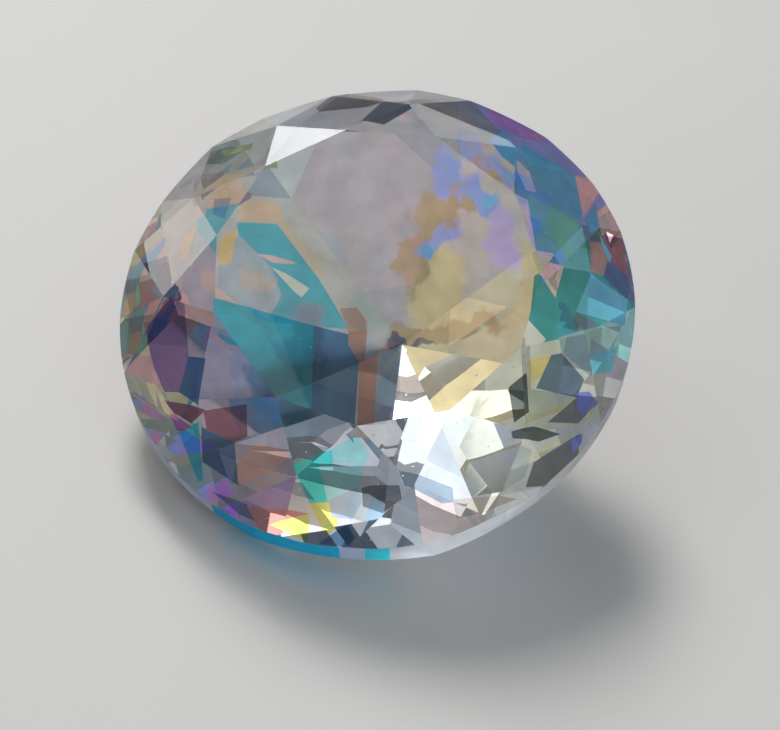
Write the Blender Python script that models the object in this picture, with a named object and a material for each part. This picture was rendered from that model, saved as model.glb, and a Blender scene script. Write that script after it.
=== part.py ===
"""A round, brilliant-style cut stone, lying on one facet of its pavilion.

Lengths are in metres. The stone is cut in its own frame first, in girdle radii,
with the axis of the cut along Z and the girdle plane at Z = 0. It is then scaled
to its real size and leaned over until the facet that it rests on lies flat on
the ground at Z = 0.
"""

import math

import bmesh
import bpy
from mathutils import Matrix, Vector

# ---------------------------------------------------------------- real size
GIRDLE_RADIUS = 0.020

# ---------------------------------------------------------------- crown, in girdle radii
TABLE_HEIGHT = 0.32
TABLE_RADIUS = 0.628
STAR_TIP_RADIUS = 0.82
STAR_TIP_HEIGHT = 0.182
RIM_HEIGHT = -0.005

# Eleven sides, lapped by eye: the corners are not quite evenly spaced.
TABLE_CORNER_DEGREES = (165, 133, 101, 68, 32, 0, -30, -64, -96, -126, -165)
STAR_TIP_DEGREES = (151, 119, 81, 48, 19, -14, -47, -80, -111, -146, -178)

# ---------------------------------------------------------------- girdle and pavilion
GIRDLE_THICKNESS = 0.14
PREFORM_SIDES = 132
OVAL = 0.022
OVAL_DEGREES = 32
LAP_TOLERANCE = 0.000001
SLIVER = 0.001
CULET_DEPTH = 0.69
CULET_OFFSET = (0.092, -0.015)
RIDGE_DEPTH = 0.19
RIDGE_SLOPE = 0.05
RIDGE_SLOPE_DEGREES = 200
RIDGE_DEGREES = (27, 72, 125, 170, 214, 270, 295, 340)
LOWER_BREAK_START = 0.68
RESTING_MAIN = 4

STONE_NAME = "gemstone"
COLLECTION_NAME = "Rainbow quartz gemstone"


def clear_scene():
    """Take away whatever the file starts with."""
    for old in list(bpy.data.objects):
        bpy.data.objects.remove(old, do_unlink=True)


def ring_point(radius, degrees, height):
    """A point on a ring about the axis of the cut."""
    turn = math.radians(degrees)
    return Vector((radius * math.cos(turn), radius * math.sin(turn), height))


def rim_point(degrees, height):
    """A point on the wall of the girdle, which is very slightly oval."""
    reach = 1.0 + OVAL * math.cos(math.radians(2 * (degrees - OVAL_DEGREES)))
    return ring_point(reach, degrees, height)


def culet():
    """The point at the foot of the stone, a little off its axis."""
    return Vector((*CULET_OFFSET, -CULET_DEPTH))


def plane_through(first, second, third):
    """A point and the outward normal of the plane through three points."""
    normal = (second - first).cross(third - first).normalized()
    if normal.dot(first) < 0.0:
        normal = -normal
    return first, normal


def drop_onto(plane, point):
    """The point of a plane straight above or below a given one."""
    base, normal = plane
    fall = normal.dot(base - point) / normal.z
    return point + Vector((0.0, 0.0, fall))


def grind(bm, plane):
    """Lap one flat facet: take off the stone outside a plane and close the cut."""
    base, normal = plane
    cut = bmesh.ops.bisect_plane(
        bm,
        geom=bm.verts[:] + bm.edges[:] + bm.faces[:],
        dist=LAP_TOLERANCE,
        plane_co=base,
        plane_no=normal,
        clear_outer=True,
    )
    rim = [item for item in cut["geom_cut"] if isinstance(item, bmesh.types.BMEdge)]
    bmesh.ops.edgeloop_fill(bm, edges=rim)


def ridge_end(degrees):
    """Where a ridge of the pavilion would meet the wall of the girdle."""
    slope = RIDGE_SLOPE * math.cos(math.radians(degrees - RIDGE_SLOPE_DEGREES))
    return rim_point(degrees, -RIDGE_DEPTH - slope)


def cut_crown(bm):
    """The table, then the stars, the bezel mains and the breaks above the girdle."""
    grind(bm, (Vector((0.0, 0.0, TABLE_HEIGHT)), Vector((0.0, 0.0, 1.0))))
    corners = [ring_point(TABLE_RADIUS, turn, TABLE_HEIGHT) for turn in TABLE_CORNER_DEGREES]
    tips = [ring_point(STAR_TIP_RADIUS, turn, STAR_TIP_HEIGHT) for turn in STAR_TIP_DEGREES]
    feet = []
    for step, corner in enumerate(corners):
        bezel = plane_through(corner, tips[step - 1], tips[step])
        grind(bm, bezel)
        feet.append(drop_onto(bezel, rim_point(TABLE_CORNER_DEGREES[step], 0.0)))
    for step, tip in enumerate(tips):
        after = (step + 1) % len(tips)
        rim = rim_point(STAR_TIP_DEGREES[step], RIM_HEIGHT)
        grind(bm, plane_through(corners[step], corners[after], tip))
        grind(bm, plane_through(tip, feet[step], rim))
        grind(bm, plane_through(tip, rim, feet[after]))


def pavilion_mains():
    """The planes of the pavilion mains, which all meet in the point below."""
    ends = [ridge_end(turn) for turn in RIDGE_DEGREES]
    following = ends[1:] + ends[:1]
    return [plane_through(culet(), first, second) for first, second in zip(ends, following)]


def cut_pavilion(bm):
    """The mains, then the breaks that ease each ridge between them into the girdle."""
    mains = pavilion_mains()
    touches = []
    for step, plane in enumerate(mains):
        grind(bm, plane)
        width = (RIDGE_DEGREES[(step + 1) % len(mains)] - RIDGE_DEGREES[step]) % 360
        touches.append(drop_onto(plane, rim_point(RIDGE_DEGREES[step] + width / 2, 0.0)))
    for step, turn in enumerate(RIDGE_DEGREES):
        start = culet().lerp(ridge_end(turn), LOWER_BREAK_START)
        rim = rim_point(turn, -GIRDLE_THICKNESS)
        grind(bm, plane_through(start, rim, touches[step - 1]))
        grind(bm, plane_through(start, rim, touches[step]))


def cut_stone():
    """The whole stone in its own frame, from a round preform."""
    bm = bmesh.new()
    bmesh.ops.create_cone(
        bm,
        cap_ends=True,
        segments=PREFORM_SIDES,
        radius1=1.0,
        radius2=1.0,
        depth=2.0,
    )
    for vert in bm.verts:
        degrees = math.degrees(math.atan2(vert.co.y, vert.co.x))
        vert.co = rim_point(degrees, vert.co.z)
    cut_crown(bm)
    cut_pavilion(bm)
    bmesh.ops.remove_doubles(bm, verts=bm.verts[:], dist=SLIVER)
    return bm


def lean_over(bm):
    """Bring the stone to size and lay it on its resting facet, over the origin."""
    _, normal = pavilion_mains()[RESTING_MAIN]
    lean = normal.rotation_difference(Vector((0.0, 0.0, -1.0))).to_matrix().to_4x4()
    bm.transform(Matrix.Scale(GIRDLE_RADIUS, 4) @ lean)
    low = Vector([min(vert.co[axis] for vert in bm.verts) for axis in range(3)])
    high = Vector([max(vert.co[axis] for vert in bm.verts) for axis in range(3)])
    middle = (low + high) / 2
    bm.transform(Matrix.Translation((-middle.x, -middle.y, -low.z)))


def clear_glass():
    """The stone's own material: clear, with a faint cool tint."""
    glass = bpy.data.materials.new("coated clear quartz")
    glass.use_nodes = True
    shader = glass.node_tree.nodes["Principled BSDF"]
    shader.inputs["Base Color"].default_value = (0.86, 0.93, 0.95, 1.0)
    shader.inputs["Roughness"].default_value = 0.0
    shader.inputs["IOR"].default_value = 1.54
    shader.inputs["Transmission Weight"].default_value = 1.0
    return glass


def build():
    clear_scene()
    collection = bpy.data.collections.new(COLLECTION_NAME)
    bpy.context.scene.collection.children.link(collection)
    bm = cut_stone()
    lean_over(bm)
    bmesh.ops.recalc_face_normals(bm, faces=bm.faces[:])
    mesh = bpy.data.meshes.new(STONE_NAME)
    bm.to_mesh(mesh)
    bm.free()
    mesh.materials.append(clear_glass())
    stone = bpy.data.objects.new(STONE_NAME, mesh)
    collection.objects.link(stone)


build()
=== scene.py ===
import math

import bmesh
import bpy
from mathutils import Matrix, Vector


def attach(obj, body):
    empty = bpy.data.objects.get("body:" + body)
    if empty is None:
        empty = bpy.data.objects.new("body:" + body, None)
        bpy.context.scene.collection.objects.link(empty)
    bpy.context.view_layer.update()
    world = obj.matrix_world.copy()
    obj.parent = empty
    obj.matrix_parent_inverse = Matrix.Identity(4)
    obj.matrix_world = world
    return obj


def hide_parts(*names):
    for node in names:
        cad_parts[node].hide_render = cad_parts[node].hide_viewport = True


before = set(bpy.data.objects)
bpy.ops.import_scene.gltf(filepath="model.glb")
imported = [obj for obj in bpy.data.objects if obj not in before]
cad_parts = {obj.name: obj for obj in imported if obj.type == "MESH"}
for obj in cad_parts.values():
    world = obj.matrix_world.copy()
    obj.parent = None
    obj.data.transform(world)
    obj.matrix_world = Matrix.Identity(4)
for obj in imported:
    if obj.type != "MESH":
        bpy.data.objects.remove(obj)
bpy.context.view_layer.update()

# ---------------------------------------------------------------- the stone's own frame
# The axis of the cut leans out of upright, because the stone lies on a pavilion facet.
CUT_AXIS = Vector((-0.1763, -0.4234, 0.8887))
GIRDLE_MIDDLE = Vector((-0.00017, -0.00051, 0.01207))
GIRDLE_RADIUS = 0.020
UPRIGHT = CUT_AXIS.rotation_difference(Vector((0.0, 0.0, 1.0)))

# ---------------------------------------------------------------- lapping and polish
WELD = 0.000002
FLAT_DEGREES = 0.3
EDGE_WIDTH = 0.00012
ROUND_DEGREES = 6

# ---------------------------------------------------------------- which facet is which
# A facet's row shows in how far its normal tilts above the plane of the girdle, in degrees.
TABLE_TILT = 80
STAR_TILT = 53.5
CROWN_TILT = 2
GIRDLE_TILT = -10
# A kite reaches up to the table, and a pavilion main down towards the point, in girdle radii.
KITE_TOP = 0.29
MAIN_FOOT = -0.6
# How far a unit normal points along the axis of the cut tells the side of the stone.
GIRDLE_FACING = 0.15
PAVILION_FACING = -0.2
SHARD_FACING = 0.1
# The material slots of the stone.
CROWN_SLOT = 0
PAVILION_SLOT = 1
GIRDLE_SLOT = 2

# ---------------------------------------------------------------- the coating, facet by facet
# The tint that each coat gives to clear stone.
COATS = {
    "bare": (1.00, 1.00, 1.00),
    "lavender": (0.79, 0.82, 0.90),
    "haze": (0.59, 0.66, 0.74),
    "pale mist": (0.52, 0.52, 0.57),
    "mist": (0.40, 0.38, 0.44),
    "heather": (0.33, 0.29, 0.38),
    "slate": (0.26, 0.37, 0.47),
    "steel": (0.17, 0.26, 0.36),
    "smoke": (0.10, 0.20, 0.31),
    "tan": (0.43, 0.37, 0.32),
    "olive": (0.61, 0.58, 0.25),
    "sage": (0.60, 0.73, 0.40),
    "lichen": (0.17, 0.41, 0.41),
    "cream": (0.78, 0.79, 0.60),
    "lemon": (1.00, 0.94, 0.47),
    "lime": (0.90, 1.00, 0.08),
    "straw": (1.00, 0.83, 0.38),
    "gold": (0.58, 0.42, 0.14),
    "pale gold": (0.76, 0.60, 0.27),
    "honey": (0.66, 0.46, 0.41),
    "amber": (1.00, 0.68, 0.12),
    "pink": (1.00, 0.68, 0.62),
    "lilac": (1.00, 0.68, 0.81),
    "coral": (1.00, 0.40, 0.35),
    "salmon": (0.83, 0.39, 0.37),
    "dusty rose": (0.67, 0.27, 0.34),
    "brick": (1.00, 0.31, 0.18),
    "rust": (0.41, 0.16, 0.12),
    "maroon": (0.21, 0.04, 0.07),
    "claret": (0.12, 0.015, 0.05),
    "vermilion": (1.00, 0.18, 0.15),
    "magenta": (0.57, 0.04, 0.45),
    "plum": (0.17, 0.07, 0.26),
    "violet": (0.10, 0.14, 0.90),
    "ink": (0.04, 0.07, 0.26),
    "night": (0.04, 0.09, 0.15),
    "navy": (0.014, 0.05, 0.18),
    "yellow gold": (0.95, 0.56, 0.18),
    "dark gold": (0.40, 0.21, 0.07),
    "blue violet": (0.13, 0.25, 1.00),
    "pale lilac": (0.64, 0.35, 1.00),
    "ice blue": (0.05, 0.57, 0.98),
    # The black below is painted shade, and the smoked grey partly so: both stand in for the shadow
    # under the stone, seen through it.
    "black glass": (0.018, 0.03, 0.06),
    "smoked glass": (0.10, 0.10, 0.17),
    "clay": (0.57, 0.41, 0.33),
    "cool mist": (0.40, 0.39, 0.56),
    "warm mist": (0.50, 0.46, 0.43),
    "bottle green": (0.015, 0.06, 0.07),
    "dark olive": (0.10, 0.23, 0.06),
    "charcoal": (0.03, 0.04, 0.04),
    "graphite": (0.10, 0.11, 0.12),
    "peach tan": (0.90, 0.44, 0.23),
    "fawn": (0.67, 0.44, 0.26),
    "teal": (0.001, 0.33, 0.50),
    "orange": (1.00, 0.45, 0.09),
    "satin cream": (0.80, 0.80, 0.60),
    "satin haze": (0.59, 0.63, 0.72),
    "electric blue": (0.00, 0.40, 1.00),
    "umber": (0.17, 0.13, 0.11),
    "taupe": (0.17, 0.14, 0.12),
    "petrol": (0.07, 0.11, 0.16),
    "pearl": (0.72, 0.76, 0.67),
    "ivory": (0.98, 0.98, 0.84),
    "celadon": (0.78, 0.88, 0.66),
    "mallow": (0.62, 0.47, 0.60),
    "wisteria": (0.46, 0.44, 0.73),
    "dove": (0.53, 0.48, 0.54),
    "bright azure": (0.05, 0.36, 1.00),
    "orchid": (0.30, 0.07, 0.62),
    # This near-black is a painted shadow: it stands in for the shadow under the stone, seen through
    # the top of the crown.
    "soot": (0.001, 0.002, 0.008),
    "midnight": (0.04, 0.16, 0.39),
    "deep teal": (0.009, 0.25, 0.29),
    "azure": (0.016, 0.21, 0.65),
    "sapphire": (0.009, 0.27, 0.94),
    "peacock": (0.007, 0.58, 0.85),
    "sea green": (0.03, 0.37, 0.31),
    "jade": (0.02, 0.86, 0.78),
    "aqua": (0.06, 0.56, 0.84),
    "turquoise": (0.27, 1.00, 1.00),
    "cyan": (0.003, 0.67, 0.95),
    "sky": (0.36, 0.53, 0.74),
    "periwinkle": (0.32, 0.48, 0.87),
}
# Each family of facets, by the bearing of its normal about the axis of the cut.
KITES = {
    166: "clay", 135: "pearl", 100: "haze", 65: "petrol", 33: "azure", 3: "deep teal",
    -30: "celadon", -64: "haze", -96: "lavender", -128: "mallow", -162: "coral",
}
STARS = {
    149: "bare", 117: "pale mist", 85: "bare", 50: "pearl", 16: "haze", -15: "deep teal",
    -47: "ivory", -80: "bare", -111: "slate", -146: "wisteria", 180: "lilac",
}
CROWN_BREAKS = {
    173: "celadon", 153: "bare", 144: "heather", 120: "satin cream", 110: "lavender", 94: "haze",
    76: "pale mist", 60: "violet", 40: "sapphire", 26: "violet", 7: "ink", -8: "turquoise",
    -22: "pale mist", -42: "lavender", -52: "bare", -74: "pink", -83: "haze",
    -104: "bare", -121: "pale lilac", -132: "ivory", -158: "straw", -171: "bare",
}
PAVILION_MAINS = {
    -170: "dove", -113: "mist", -71: "bare", -40: "bare", 3: "pale gold", 48: "honey",
    95: "mist", 141: "warm mist",
}
PAVILION_BREAKS = {
    -145: "cream", -134: "mist", -99: "bare", -53: "lavender", -37: "bare", 0: "haze",
    54: "cool mist", 90: "heather", 110: "satin haze", 125: "steel", 165: "dove",
}
GIRDLE = {
    -172: "bare", -140: "bare", -115: "electric blue", -98: "electric blue", -94: "periwinkle",
    -89: "cyan", -80: "haze", -40: "lavender", 60: "steel", 72: "night", 76: "graphite",
    84: "umber", 102: "clay", 120: "gold", 150: "cream",
}
# Straight-sided shards of another colour, by the corners of their outlines: x and y about
# the axis of the cut, in girdle radii. A shard is what lies inside every side of its outline.
CROWN_SHARDS = (
    # The first two shards are painted shade: they stand in for the shadow under the stone, seen
    # through the top of the crown.
    ("black glass", (0.02, 0.86), (0.11, 0.85), (0.14, 0.78), (0.03, 0.66), (-0.06, 0.69)),
    ("smoked glass", (0.11, 0.85), (0.23, 0.90), (0.16, 0.77)),
    ("peacock", (-0.61, -0.10), (-0.23, -0.22), (-0.235, -0.56), (-0.369, -0.508), (-0.607, -0.163)),
    ("midnight", (-0.23, -0.22), (-0.09, -0.26), (-0.06, -0.37), (-0.075, -0.62), (-0.235, -0.56)),
    ("brick", (-0.06, -0.37), (0.01, -0.34), (0.00, -0.62), (-0.066, -0.625)),
    ("brick", (-0.10, -0.25), (-0.03, -0.25), (-0.04, -0.36), (-0.06, -0.37), (-0.10, -0.30)),
    ("haze", (0.01, -0.34), (0.09, -0.30), (0.09, -0.50), (0.04, -0.615), (-0.005, -0.62)),
    ("plum", (-0.83, -0.05), (-0.79, -0.04), (-0.73, -0.09), (-0.71, -0.29), (-0.75, -0.41),
     (-0.81, -0.39), (-0.85, -0.30), (-0.89, -0.17)),
    ("navy", (-0.71, -0.29), (-0.64, -0.32), (-0.67, -0.48), (-0.75, -0.41)),
    ("salmon", (-0.91, 0.06), (-0.81, -0.05), (-0.83, -0.07), (-0.89, -0.17)),
    ("straw", (-0.99, 0.05), (-0.90, -0.09), (-0.87, -0.24), (-0.98, -0.18)),
    ("olive", (-0.99, 0.15), (-0.91, 0.08), (-0.90, -0.09), (-0.95, -0.09), (-0.99, 0.07)),
    ("periwinkle", (-0.63, 0.36), (-0.56, 0.34), (-0.58, 0.24), (-0.63, 0.28)),
    ("claret", (-0.81, -0.42), (-0.64, -0.50), (-0.70, -0.53), (-0.77, -0.48)),
    ("magenta", (-0.79, -0.47), (-0.70, -0.54), (-0.73, -0.55), (-0.76, -0.54)),
    ("cyan", (-0.75, -0.55), (-0.67, -0.53), (-0.66, -0.72), (-0.68, -0.72)),
    ("maroon", (-0.65, -0.50), (-0.48, -0.51), (-0.48, -0.61), (-0.53, -0.62), (-0.64, -0.56)),
    ("navy", (-0.66, -0.55), (-0.53, -0.62), (-0.52, -0.76), (-0.45, -0.81), (-0.66, -0.72)),
    ("coral", (-0.52, -0.68), (-0.48, -0.65), (-0.43, -0.64), (-0.32, -0.69), (-0.34, -0.72),
     (-0.41, -0.74), (-0.52, -0.76)),
    ("ink", (-0.625, -0.762), (-0.492, -0.821), (-0.432, -0.891), (-0.517, -0.852)),
    ("vermilion", (-0.49, -0.83), (-0.25, -0.88), (-0.30, -0.91), (-0.38, -0.94), (-0.44, -0.91)),
    ("lime", (-0.42, -0.90), (-0.25, -0.88), (-0.26, -0.97), (-0.32, -0.94)),
    ("lime", (-0.25, -0.85), (-0.13, -0.85), (-0.15, -0.93), (-0.19, -0.95)),
    ("jade", (-0.31, -0.73), (-0.15, -0.69), (-0.18, -0.85), (-0.25, -0.85)),
    ("turquoise", (-0.16, -0.69), (-0.07, -0.65), (-0.02, -0.71), (-0.04, -0.74), (-0.16, -0.73)),
    ("turquoise", (-0.21, -0.74), (-0.04, -0.74), (-0.07, -0.82), (-0.14, -0.85), (-0.18, -0.85)),
    ("lavender", (-0.24, -0.67), (-0.18, -0.63), (-0.09, -0.61), (-0.07, -0.65), (-0.16, -0.69)),
    ("midnight", (-0.22, -0.97), (-0.11, -0.92), (-0.08, -0.96), (-0.11, -0.99)),
    ("sapphire", (0.44, 0.64), (0.51, 0.73), (0.55, 0.61), (0.54, 0.49), (0.49, 0.54)),
    ("azure", (0.60, 0.49), (0.79, 0.57), (0.80, 0.30), (0.62, 0.34)),
    ("sapphire", (0.56, 0.62), (0.65, 0.63), (0.77, 0.58), (0.76, 0.56), (0.60, 0.53)),
    ("sky", (0.55, 0.54), (0.60, 0.49), (0.62, 0.38), (0.58, 0.37), (0.55, 0.47)),
    ("sea green", (0.58, 0.36), (0.64, 0.34), (0.80, 0.28), (0.70, 0.10), (0.61, 0.09)),
    ("azure", (0.59, 0.24), (0.63, 0.24), (0.63, 0.19), (0.61, 0.15)),
    ("aqua", (0.80, 0.27), (0.83, 0.08), (0.71, 0.05), (0.68, 0.09)),
    ("violet", (0.51, 0.73), (0.56, 0.84), (0.73, 0.75), (0.87, 0.60), (0.80, 0.56), (0.58, 0.65)),
    ("orchid", (0.446, 0.93), (0.519, 0.895), (0.62, 0.81), (0.69, 0.73), (0.61, 0.70), (0.51, 0.74),
     (0.446, 0.81)),
    ("taupe", (0.152, 0.812), (0.213, 0.886), (0.293, 0.865), (0.40, 0.68), (0.25, 0.62)),
    ("dusty rose", (0.79, 0.56), (0.87, 0.58), (0.90, 0.54), (0.81, 0.32), (0.80, 0.43)),
    ("azure", (0.81, 0.31), (0.87, 0.43), (0.87, 0.27), (0.84, 0.24)),
    ("salmon", (0.87, 0.39), (0.92, 0.46), (0.97, 0.30), (0.99, 0.13), (0.92, 0.16), (0.88, 0.27)),
    ("maroon", (0.88, 0.27), (0.97, 0.30), (0.99, 0.13), (0.92, 0.16)),
    ("aqua", (0.87, 0.28), (0.92, 0.19), (0.91, 0.15), (0.88, 0.22)),
    ("rust", (0.83, 0.21), (0.87, 0.23), (0.91, 0.16), (0.90, 0.09), (0.83, 0.08)),
    ("navy", (0.90, 0.16), (0.99, 0.13), (0.98, 0.02), (0.88, 0.08)),
    ("ice blue", (0.83, 0.07), (0.98, 0.02), (0.96, -0.10), (0.76, -0.12)),
    ("night", (0.76, -0.12), (0.86, -0.14), (0.76, -0.20), (0.75, -0.16)),
    ("deep teal", (0.60, -0.02), (0.71, 0.05), (0.83, 0.08), (0.75, -0.13), (0.67, -0.25),
     (0.58, -0.19)),
    ("pink", (0.62, -0.01), (0.66, 0.05), (0.72, 0.06), (0.68, -0.09)),
    ("sage", (0.59, 0.08), (0.68, 0.09), (0.62, -0.02)),
    ("bare", (0.57, -0.20), (0.64, -0.26), (0.58, -0.34), (0.54, -0.33)),
    ("amber", (0.57, -0.35), (0.66, -0.31), (0.65, -0.36), (0.58, -0.43)),
    ("night", (0.66, -0.31), (0.70, -0.29), (0.79, -0.36), (0.76, -0.43), (0.60, -0.44)),
    ("lichen", (0.69, -0.24), (0.95, -0.10), (0.87, -0.30), (0.81, -0.34), (0.70, -0.29)),
    ("aqua", (0.81, -0.28), (0.93, -0.19), (0.90, -0.30), (0.82, -0.33)),
    ("sky", (-0.175, -0.845), (-0.065, -0.805), (-0.050, -0.850), (-0.090, -0.905), (-0.165, -0.895)),
    ("charcoal", (0.495, -0.457), (0.564, -0.397), (0.572, -0.529), (0.515, -0.574)),
    ("charcoal", (0.495, -0.575), (0.59, -0.573), (0.677, -0.541), (0.77, -0.53), (0.61, -0.616),
     (0.51, -0.625)),
    ("haze", (0.336, -0.701), (0.494, -0.635), (0.585, -0.647), (0.56, -0.73), (0.46, -0.80),
     (0.294, -0.80)),
    ("graphite", (0.59, -0.684), (0.77, -0.55), (0.767, -0.615), (0.636, -0.744), (0.56, -0.763)),
    ("graphite", (0.644, -0.545), (0.777, -0.414), (0.844, -0.421), (0.765, -0.519)),
    ("lemon", (0.58, -0.686), (0.612, -0.642), (0.72, -0.571), (0.788, -0.527)),
    ("violet", (0.755, -0.415), (0.81, -0.396), (0.844, -0.431), (0.777, -0.492), (0.76, -0.462)),
    ("violet", (0.733, -0.581), (0.782, -0.546), (0.777, -0.578), (0.744, -0.621)),
    ("graphite", (-0.054, -0.811), (-0.017, -0.803), (0.087, -0.806), (0.096, -0.848),
     (0.023, -0.889), (-0.05, -0.866)),
    ("steel", (0.087, -0.764), (0.129, -0.768), (0.284, -0.801), (0.289, -0.844), (0.242, -0.851),
     (0.107, -0.807)),
    ("tan", (0.284, -0.836), (0.473, -0.805), (0.527, -0.804), (0.399, -0.867), (0.299, -0.891)),
)
PAVILION_SHARDS = (
    ("bottle green", (-0.69, 0.675), (-0.65, 0.74), (-0.535, 0.70), (-0.395, 0.70), (-0.41, 0.67),
     (-0.544, 0.60), (-0.667, 0.636)),
    ("dark olive", (-0.575, 0.69), (-0.413, 0.686), (-0.408, 0.65), (-0.55, 0.65)),
    ("smoked glass", (-0.65, 0.577), (-0.51, 0.544), (-0.52, 0.515), (-0.60, 0.47)),
    ("olive", (-0.60, 0.455), (-0.52, 0.522), (-0.507, 0.494), (-0.58, 0.465)),
    ("peach tan", (-0.57, 0.43), (-0.54, 0.51), (-0.485, 0.525), (-0.41, 0.51), (-0.38, 0.45),
     (-0.41, 0.435)),
    ("fawn", (-0.39, 0.45), (-0.35, 0.42), (-0.24, 0.29), (-0.20, 0.237), (-0.243, 0.222),
     (-0.41, 0.435)),
    ("fawn", (-0.19, 0.124), (-0.125, 0.113), (-0.07, -0.006), (-0.102, -0.01), (-0.164, 0.059)),
    ("teal", (-0.57, 0.42), (-0.41, 0.43), (-0.24, 0.22), (-0.12, 0.03), (-0.50, 0.02)),
    ("slate", (-0.64, 0.24), (-0.56, 0.37), (-0.43, 0.25), (-0.39, 0.14), (-0.44, 0.04),
     (-0.65, 0.12)),
    ("orange", (-0.64, 0.32), (-0.62, 0.36), (-0.57, 0.39), (-0.59, 0.25), (-0.64, 0.24)),
    ("salmon", (-0.49, 0.30), (-0.43, 0.30), (-0.33, 0.28), (-0.35, 0.27), (-0.43, 0.27)),
    ("cream", (-0.43, 0.25), (-0.37, 0.23), (-0.28, 0.18), (-0.31, 0.14), (-0.34, 0.16)),
    ("coral", (-0.65, 0.15), (-0.56, 0.09), (-0.44, 0.00), (-0.46, -0.01), (-0.65, 0.11)),
    ("rust", (-0.16, 0.11), (-0.09, 0.12), (-0.05, 0.07), (-0.05, 0.02), (-0.12, 0.01)),
    # Painted shadow: this near-black shard stands in for the shadow under the stone, seen through the
    # top of the crown.
    ("soot", (-0.24, 0.84), (-0.19, 0.95), (-0.11, 0.97), (-0.01, 0.90), (0.04, 0.84),
     (-0.02, 0.80), (-0.22, 0.80)),
)

# Coats lapped to a satin finish, and how rough each one is.
SATIN = {"satin cream": 0.18, "satin haze": 0.30}

# Soft patches of colour in the coating, the last of them a painted contact shadow at the point of the
# stone: middle, half length, half width and tilt.
PAVILION_PATCHES = (
    ("yellow gold", 0.24, 0.17, 0.12, 0.17, 0),
    ("dark gold", 0.23, 0.47, 0.07, 0.14, 0),
    ("dark gold", 0.14, 0.33, 0.05, 0.14, 0),
    ("dark gold", 0.335, 0.54, 0.05, 0.12, -20),
    ("yellow gold", 0.60, 0.12, 0.045, 0.22, -8),
    ("dark gold", 0.28, 0.01, 0.25, 0.05, 0),
    ("blue violet", 0.28, 0.655, 0.06, 0.085, 0),
    ("blue violet", 0.41, 0.54, 0.13, 0.055, -62),
    ("blue violet", 0.24, 0.385, 0.09, 0.05, 30),
    ("pale lilac", 0.51, 0.35, 0.08, 0.13, 0),
    ("bright azure", 0.44, 0.515, 0.035, 0.035, 0),
    ("bright azure", 0.205, 0.36, 0.035, 0.04, 0),
    ("clay", -0.49, 0.19, 0.05, 0.09, 20),
    ("smoke", -0.28, -0.10, 0.10, 0.20, 0),
    # Painted shade: this dark patch stands in for the contact shadow where the point of the stone
    # meets the floor.
    ("black glass", 0.12, -0.02, 0.11, 0.022, -6),
)

# ---------------------------------------------------------------- the glass and its finishes
STONE_IOR = 1.49
FILM_IOR = 2.0
POLISHED = 0.0
GROUND = 0.55
NO_FILM = 0.0
OXIDE_FILM = 380.0

# Each finish has a name, the thickness of its film in nanometres, its roughness and its patches.
FINISHES = (
    ("polished_crown", NO_FILM, POLISHED, ()),
    ("coated_pavilion", OXIDE_FILM, POLISHED, PAVILION_PATCHES),
    ("ground_girdle", NO_FILM, GROUND, ()),
)

# ---------------------------------------------------------------- patches, chips and scratches
# A patch is whole out to its core and gone at its rim, both as shares of its own size. Other
# lengths are in girdle radii, a scale is a number of cells to a girdle radius, and a band is
# the pair of values over which a pattern goes from nothing to all.
PATCH_CORE = 0.75
PATCH_RIM = 1.2
PATCH_DEPTH = 50.0
SWAY_SCALE = 7.0
SWAY_DETAIL = 6.0
SWAY_REACH = (0.22, 0.30, 0.22)
MIDDLE_GREY = (0.5, 0.5, 0.5)
UNEVEN_SCALE = 9.0
UNEVEN_DETAIL = 5.0
UNEVEN_BAND = (0.35, 0.65)
UNEVEN_COAT = (0.80, 1.0)
CHIP_SCALE = 26.0
CHIP_BAND = (0.06, 0.16)
CHIP_CHANCE = (0.80, 0.84)
CHIP_ROUGHNESS = 0.5
HAIR_TURN = 0.6
HAIR_SHAPE = (0.9, 0.006, 0.9)
HAIR_SCALE = 1.0
HAIR_BAND = (0.70, 0.74)
WORN_SCALE = 4.0
WORN_BAND = (0.50, 0.60)
SCRATCH_ROUGHNESS = 0.12

# ---------------------------------------------------------------- camera, floor and light
CAMERA_PLACE = (-0.0211, -0.13257, 0.12105)
CAMERA_DEGREES = (48.786, -9.208, -1.844)
LENS = 101.538
SENSOR_WIDTH = 36.0
NEAREST_VIEW = 0.001

FLOOR_SIZE = 3.0
FLOOR_DROP = 0.00002
FLOOR_DARK = (0.435, 0.430, 0.425, 1.0)
FLOOR_PALE = (0.475, 0.470, 0.465, 1.0)
FLOOR_SCALE = 9.0
FLOOR_DETAIL = 4.0
FLOOR_BAND = (0.3, 0.7)
FLOOR_ROUGHNESS = 0.65
CLOUD_ROUGHNESS = 0.1

SKY_COLOUR = (0.90, 0.95, 1.0, 1.0)
SKY_LOW = 0.16
SKY_HIGH = 0.50
CLEAR_BOUNCES = 24
GLOSS_BOUNCES = 16

WHITE = (1.0, 0.99, 0.97)
CREAMY = (1.0, 0.99, 0.96)
WARM = (1.0, 0.98, 0.95)
COOL = (0.95, 0.98, 1.0)
OPEN = 180
NARROW = 40

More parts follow.
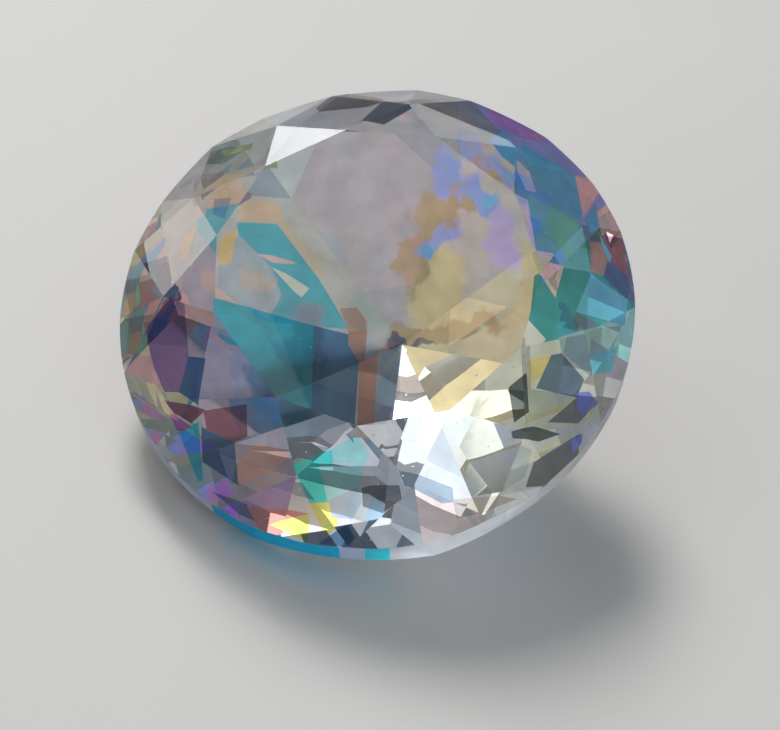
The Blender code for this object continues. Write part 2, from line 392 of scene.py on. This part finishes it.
# Each light has a name, its bearing from straight ahead and its height, both in degrees, its
# distance, its width and height, its watts, its colour and the spread of its beam in degrees.
LIGHTS = (
    ("key", -59, 47, 1.0, 0.74, 0.69, 1.85, WHITE, OPEN),
    ("lamp", -16, 42, 1.2, 0.40, 0.40, 1.0, WARM, NARROW),
    ("window", -20, 17, 1.2, 0.30, 0.16, 0.046, COOL, NARROW),
    ("low_window", -53, 5.4, 1.2, 0.40, 0.10, 0.020, COOL, NARROW),
    ("side_window", -86, 14, 1.2, 0.30, 0.40, 0.014, WARM, NARROW),
    ("high_window", -110, 71, 1.2, 0.28, 0.22, 0.007, WARM, NARROW),
    ("far_window", 17, 13.5, 1.2, 0.38, 0.19, 0.020, WHITE, NARROW),
    ("side_lamp", -92, 48, 1.2, 0.50, 0.42, 0.009, CREAMY, NARROW),
    ("skylight", 30, 75, 1.2, 0.35, 0.20, 0.004, WHITE, NARROW),
)


# ---------------------------------------------------------------- finding the way on the stone
def own_frame(point):
    """A point of the world in the stone's own frame, in girdle radii."""
    return UPRIGHT @ (point - GIRDLE_MIDDLE) / GIRDLE_RADIUS


def world_point(x, y):
    """A point of the girdle plane, given in the stone's own frame, in the world."""
    return UPRIGHT.inverted() @ (Vector((x, y, 0.0)) * GIRDLE_RADIUS) + GIRDLE_MIDDLE


def bearing(direction):
    """How far a direction is turned about the axis of the cut, from X of the stone's own frame."""
    return math.degrees(math.atan2(direction.y, direction.x))


def nearest(family, degrees):
    """The coat of the facet whose bearing is nearest."""
    def gap(known):
        return abs((known - degrees + 180) % 360 - 180)

    return family[min(family, key=gap)]


def coat_of(normal, corners):
    """The coat of one facet, from its normal and its corners in the stone's own frame."""
    turn = bearing(normal)
    tilt = math.degrees(math.asin(max(-1.0, min(1.0, normal.z))))
    top = max(corner.z for corner in corners)
    foot = min(corner.z for corner in corners)
    if tilt > TABLE_TILT:
        return "bare"
    if tilt > STAR_TILT:
        return nearest(STARS, turn)
    if tilt > CROWN_TILT:
        return nearest(KITES if top > KITE_TOP else CROWN_BREAKS, turn)
    if tilt > GIRDLE_TILT:
        return nearest(GIRDLE, turn)
    return nearest(PAVILION_MAINS if foot < MAIN_FOOT else PAVILION_BREAKS, turn)


def slot_of(normal):
    """The material slot of one facet, from its normal in the stone's own frame."""
    if normal.z < PAVILION_FACING:
        return PAVILION_SLOT
    if abs(normal.z) < GIRDLE_FACING:
        return GIRDLE_SLOT
    return CROWN_SLOT


# ---------------------------------------------------------------- shader maths
class Wire:
    """A socket that adds a Math node for each operator used on it."""

    def __init__(self, tree, socket):
        self.tree = tree
        self.socket = socket

    def maths(self, operation, *terms):
        """A Math node on this socket and others, or on numbers."""
        return self.tree.node("ShaderNodeMath", {"operation": operation}, dict(enumerate(terms)))

    def __add__(self, other):
        return self.maths("ADD", self, other)

    def __mul__(self, other):
        return self.maths("MULTIPLY", self, other)

    __radd__ = __add__
    __rmul__ = __mul__


class Finish:
    """A material and the nodes that make it."""

    def __init__(self, name):
        self.material = bpy.data.materials.new(name)
        self.material.use_nodes = True
        self.nodes = self.material.node_tree.nodes
        self.links = self.material.node_tree.links
        self.surface = self.nodes["Principled BSDF"]

    def feed(self, socket, value):
        """Link a wire to a socket, or set the socket to a plain value."""
        if isinstance(value, Wire):
            self.links.new(value.socket, socket)
        else:
            socket.default_value = value

    def node(self, kind, settings=None, inputs=None, output=0):
        """Any node: its settings first, then its sockets, and one output to go on with."""
        made = self.nodes.new(kind)
        for name, value in (settings or {}).items():
            setattr(made, name, value)
        for name, value in (inputs or {}).items():
            self.feed(made.inputs[name], value)
        return Wire(self, made.outputs[output])

    def framed(self, point, middle, turn, size):
        """A point as it lies in a frame of its own."""
        frame_of = {"Vector": point, "Location": middle, "Rotation": turn, "Scale": size}
        return self.node("ShaderNodeMapping", {"vector_type": "TEXTURE"}, frame_of)

    def vector(self, operation, *terms, output=0):
        """Maths on vectors."""
        kind = {"operation": operation}
        return self.node("ShaderNodeVectorMath", kind, dict(enumerate(terms)), output)

    def mix(self, factor, first, second, blend="MIX"):
        """One colour laid over another, by a Mix node's sockets for colours."""
        kind = {"data_type": "RGBA", "blend_type": blend}
        return self.node("ShaderNodeMix", kind, {0: factor, 6: first, 7: second}, 2)

    def ramp(self, value, start, end, low=0.0, high=1.0):
        """A value eased from low to high while it goes from start to end."""
        reach = {"Value": value, "From Min": start, "From Max": end, "To Min": low, "To Max": high}
        return self.node("ShaderNodeMapRange", {"interpolation_type": "SMOOTHSTEP"}, reach)

    def noise(self, point, scale, detail=3.0, output=0):
        """A soft cloudy pattern."""
        pattern = {"Vector": point, "Scale": scale, "Detail": detail}
        return self.node("ShaderNodeTexNoise", None, pattern, output)

    def cells(self, point, scale, output):
        """A pattern of round cells: how far it is to the middle of one, or its own colour."""
        return self.node("ShaderNodeTexVoronoi", None, {"Vector": point, "Scale": scale}, output)

    def principled(self, **values):
        """Feed the sockets of the shader, by their names with _ for each space."""
        for name, value in values.items():
            self.feed(self.surface.inputs[name.replace("_", " ")], value)


def soft_patch(finish, point, x, y, length, width, tilt):
    """How much of a soft-edged oval patch lies over a point."""
    turn = (0.0, 0.0, math.radians(tilt))
    near = finish.framed(point, (x, y, 0.0), turn, (length, width, PATCH_DEPTH))
    away = finish.vector("LENGTH", near, output="Value")
    return finish.ramp(away, PATCH_CORE, PATCH_RIM, 1.0, 0.0)


def patched(finish, own, coat, patches):
    """The coat with the soft patches in it, each with a wandering edge."""
    cloud = finish.noise(own, SWAY_SCALE, SWAY_DETAIL, "Color")
    sway = finish.vector("SUBTRACT", cloud, MIDDLE_GREY)
    swayed = finish.vector("MULTIPLY_ADD", sway, SWAY_REACH, own)
    for tint, *where in patches:
        coat = finish.mix(soft_patch(finish, swayed, *where), coat, (*COATS[tint], 1.0))
    return coat


def chips(finish, own):
    """How much of a small chip lies over a point: only some of the cells hold one."""
    middle = finish.cells(own, CHIP_SCALE, "Distance")
    chance = finish.cells(own, CHIP_SCALE, "Color")
    return finish.ramp(middle, *CHIP_BAND, 1.0, 0.0) * finish.ramp(chance, *CHIP_CHANCE)


def scratches(finish, own):
    """How much of a hair scratch lies over a point: they keep to the worn places."""
    along = finish.framed(own, (0.0, 0.0, 0.0), (0.0, 0.0, HAIR_TURN), HAIR_SHAPE)
    hairs = finish.ramp(finish.noise(along, HAIR_SCALE), *HAIR_BAND)
    return hairs * finish.ramp(finish.noise(own, WORN_SCALE), *WORN_BAND)


def coated_glass(name, film_thickness, roughness, patches):
    """Clear stone, coloured facet by facet, under a thin metal-oxide film."""
    finish = Finish(name)
    place = finish.node("ShaderNodeTexCoord", output="Object")
    lean = UPRIGHT.inverted().to_euler()
    own = finish.framed(place, GIRDLE_MIDDLE, lean, (GIRDLE_RADIUS,) * 3)
    coat = finish.node("ShaderNodeAttribute", {"attribute_name": "coat"}, output="Color")
    satin = finish.node("ShaderNodeAttribute", {"attribute_name": "satin"}, output="Fac")
    coat = patched(finish, own, coat, patches)
    cloud = finish.noise(own, UNEVEN_SCALE, UNEVEN_DETAIL)
    coat = finish.mix(1.0, coat, finish.ramp(cloud, *UNEVEN_BAND, *UNEVEN_COAT), "MULTIPLY")
    wear = chips(finish, own) * CHIP_ROUGHNESS + scratches(finish, own) * SCRATCH_ROUGHNESS
    finish.principled(Base_Color=coat, Roughness=wear + satin + roughness)
    finish.principled(IOR=STONE_IOR, Transmission_Weight=1.0)
    finish.principled(Thin_Film_Thickness=film_thickness, Thin_Film_IOR=FILM_IOR)
    return finish.material


# ---------------------------------------------------------------- the stone
def only(piece):
    """Select one piece and make it the active one."""
    bpy.ops.object.select_all(action="DESELECT")
    piece.select_set(True)
    bpy.context.view_layer.objects.active = piece


def lap_stone():
    """The cut stone with its edges eased, as a piece of its own."""
    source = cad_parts["gemstone"]
    stone = bpy.data.objects.new("polished_stone", source.data.copy())
    bpy.context.scene.collection.objects.link(stone)
    only(stone)
    bpy.ops.object.mode_set(mode="EDIT")
    bpy.ops.mesh.select_all(action="SELECT")
    bpy.ops.mesh.remove_doubles(threshold=WELD)
    bpy.ops.mesh.dissolve_limited(angle_limit=math.radians(FLAT_DEGREES))
    bpy.ops.mesh.select_all(action="SELECT")
    bpy.ops.mesh.bevel(offset=EDGE_WIDTH / 2, segments=1, affect="EDGES", clamp_overlap=True)
    bpy.ops.object.mode_set(mode="OBJECT")
    bpy.ops.object.shade_smooth_by_angle(angle=math.radians(ROUND_DEGREES))
    return stone


def coat_facets(stone):
    """Give each facet its coat, how satin it is, and its material slot."""
    mesh = stone.data
    # Both are made before either is fetched, because making one can move the other.
    mesh.attributes.new("coat", "FLOAT_COLOR", "CORNER")
    mesh.attributes.new("satin", "FLOAT", "CORNER")
    coat = mesh.attributes["coat"]
    satin = mesh.attributes["satin"]
    for facet in mesh.polygons:
        normal = UPRIGHT @ facet.normal
        corners = [own_frame(mesh.vertices[corner].co) for corner in facet.vertices]
        name = coat_of(normal, corners)
        for corner in facet.loop_indices:
            coat.data[corner].color = (*COATS[name], 1.0)
            satin.data[corner].value = SATIN.get(name, 0.0)
        facet.material_index = slot_of(normal)


def pick_faces(mesh, wanted):
    """Select the faces in view for which a test holds, and return the mesh and those faces."""
    cut = bmesh.from_edit_mesh(mesh)
    picked = [face for face in cut.faces if not face.hide and wanted(face)]
    for face in cut.faces:
        face.select_set(face in picked)
    bmesh.update_edit_mesh(mesh)
    return cut, picked


def lies_near(face, side, outline):
    """Whether a face is on the shard's side of the stone and its box meets the shard's box."""
    if side * (UPRIGHT @ face.normal).z < SHARD_FACING:
        return False
    corners = [own_frame(vert.co) for vert in face.verts]
    for axis in (0, 1):
        spread = [corner[axis] for corner in corners]
        reach = [point[axis] for point in outline]
        if min(spread) > max(reach) or max(spread) < min(reach):
            return False
    return True


def lies_beyond(face, corner, outward):
    """Whether a face lies outside the shard's side that runs through a corner."""
    return outward.xy.dot(own_frame(face.calc_center_median()).xy - Vector(corner)) > 0.0


def cut_shard(mesh, side, colour, outline):
    """Score one straight-sided shard into the facets under it, and give it its colour."""
    middle = Vector([sum(point[axis] for point in outline) / len(outline) for axis in (0, 1)])
    pick_faces(mesh, lambda face: lies_near(face, side, outline))
    bpy.ops.mesh.hide(unselected=True)
    for first, second in zip(outline, outline[1:] + outline[:1]):
        outward = Vector((second[1] - first[1], first[0] - second[0], 0.0))
        if outward.xy.dot(middle - Vector(first)) > 0.0:
            outward = -outward
        bpy.ops.mesh.select_all(action="SELECT")
        bpy.ops.mesh.bisect(
            plane_co=world_point(*first),
            plane_no=UPRIGHT.inverted() @ outward,
            threshold=WELD,
        )
        pick_faces(mesh, lambda face: lies_beyond(face, first, outward))
        bpy.ops.mesh.hide(unselected=False)
    cut, inside = pick_faces(mesh, lambda face: True)
    coat = cut.loops.layers.float_color["coat"]
    for face in inside:
        for corner in face.loops:
            corner[coat] = (*colour, 1.0)
    bmesh.update_edit_mesh(mesh)
    bpy.ops.mesh.reveal(select=False)


def cut_shards(stone):
    """All the shards, each over the ones before it."""
    only(stone)
    bpy.ops.object.mode_set(mode="EDIT")
    bpy.ops.mesh.select_mode(type="FACE")
    for side, shards in ((1, CROWN_SHARDS), (-1, PAVILION_SHARDS)):
        for coat, *outline in shards:
            cut_shard(stone.data, side, COATS[coat], outline)
    bpy.ops.object.mode_set(mode="OBJECT")


# ---------------------------------------------------------------- the studio
def set_camera():
    """The camera, close to the stone and looking down on it."""
    lens = bpy.data.cameras.new("camera")
    lens.sensor_width = SENSOR_WIDTH
    lens.lens = LENS
    lens.clip_start = NEAREST_VIEW
    camera = bpy.data.objects.new("camera", lens)
    bpy.context.scene.collection.objects.link(camera)
    camera.location = CAMERA_PLACE
    camera.rotation_euler = [math.radians(angle) for angle in CAMERA_DEGREES]
    bpy.context.scene.camera = camera


def lay_floor():
    """A plain pale floor, a hair below the facet that the stone rests on."""
    pale = Finish("pale floor")
    place = pale.node("ShaderNodeTexCoord", output="Object")
    cloud = pale.ramp(pale.noise(place, FLOOR_SCALE, FLOOR_DETAIL), *FLOOR_BAND)
    tone = pale.mix(cloud, FLOOR_DARK, FLOOR_PALE)
    pale.principled(Base_Color=tone, Roughness=cloud * CLOUD_ROUGHNESS + FLOOR_ROUGHNESS)
    bpy.ops.object.select_all(action="DESELECT")
    bpy.ops.mesh.primitive_plane_add(size=FLOOR_SIZE, location=(0.0, 0.0, -FLOOR_DROP))
    floor = bpy.context.object
    floor.name = "floor"
    bpy.ops.object.transform_apply(location=True)
    floor.data.materials.append(pale.material)


def softbox(name, bearing_degrees, height_degrees, distance, width, height, watts, colour, spread):
    """A soft light, placed by its bearing from straight ahead and its height."""
    lamp = bpy.data.lights.new(name, "AREA")
    lamp.shape = "RECTANGLE"
    lamp.size = width
    lamp.size_y = height
    lamp.energy = watts
    lamp.color = colour
    lamp.spread = math.radians(spread)
    holder = bpy.data.objects.new(name, lamp)
    bpy.context.scene.collection.objects.link(holder)
    turn = math.radians(bearing_degrees)
    lift = math.radians(height_degrees)
    away = Vector((math.sin(turn) * math.cos(lift), math.cos(turn) * math.cos(lift), math.sin(lift)))
    holder.location = away * distance
    holder.rotation_euler = away.to_track_quat("Z", "Y").to_euler()


def light_sky():
    """A dim room all round, brighter overhead."""
    world = bpy.data.worlds.new("studio")
    bpy.context.scene.world = world
    world.use_nodes = True
    sky = world.node_tree.nodes
    back = sky["Background"]
    place = sky.new("ShaderNodeTexCoord")
    parts = sky.new("ShaderNodeSeparateXYZ")
    rise = sky.new("ShaderNodeMapRange")
    rise.inputs["To Min"].default_value = SKY_LOW
    rise.inputs["To Max"].default_value = SKY_HIGH
    link = world.node_tree.links.new
    link(place.outputs["Generated"], parts.inputs[0])
    link(parts.outputs["Z"], rise.inputs["Value"])
    link(rise.outputs["Result"], back.inputs["Strength"])
    back.inputs["Color"].default_value = SKY_COLOUR


def light_studio():
    """The sky and the soft lights, with enough bounces for light to cross the stone."""
    light_sky()
    for light in LIGHTS:
        softbox(*light)
    scene = bpy.context.scene
    scene.view_settings.view_transform = "Standard"
    scene.cycles.max_bounces = CLEAR_BOUNCES
    scene.cycles.transmission_bounces = CLEAR_BOUNCES
    scene.cycles.glossy_bounces = GLOSS_BOUNCES


set_camera()
stone = lap_stone()
stone.data.materials.clear()
for finish in FINISHES:
    stone.data.materials.append(coated_glass(*finish))
coat_facets(stone)
cut_shards(stone)
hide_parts("gemstone")
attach(stone, "root")
lay_floor()
light_studio()
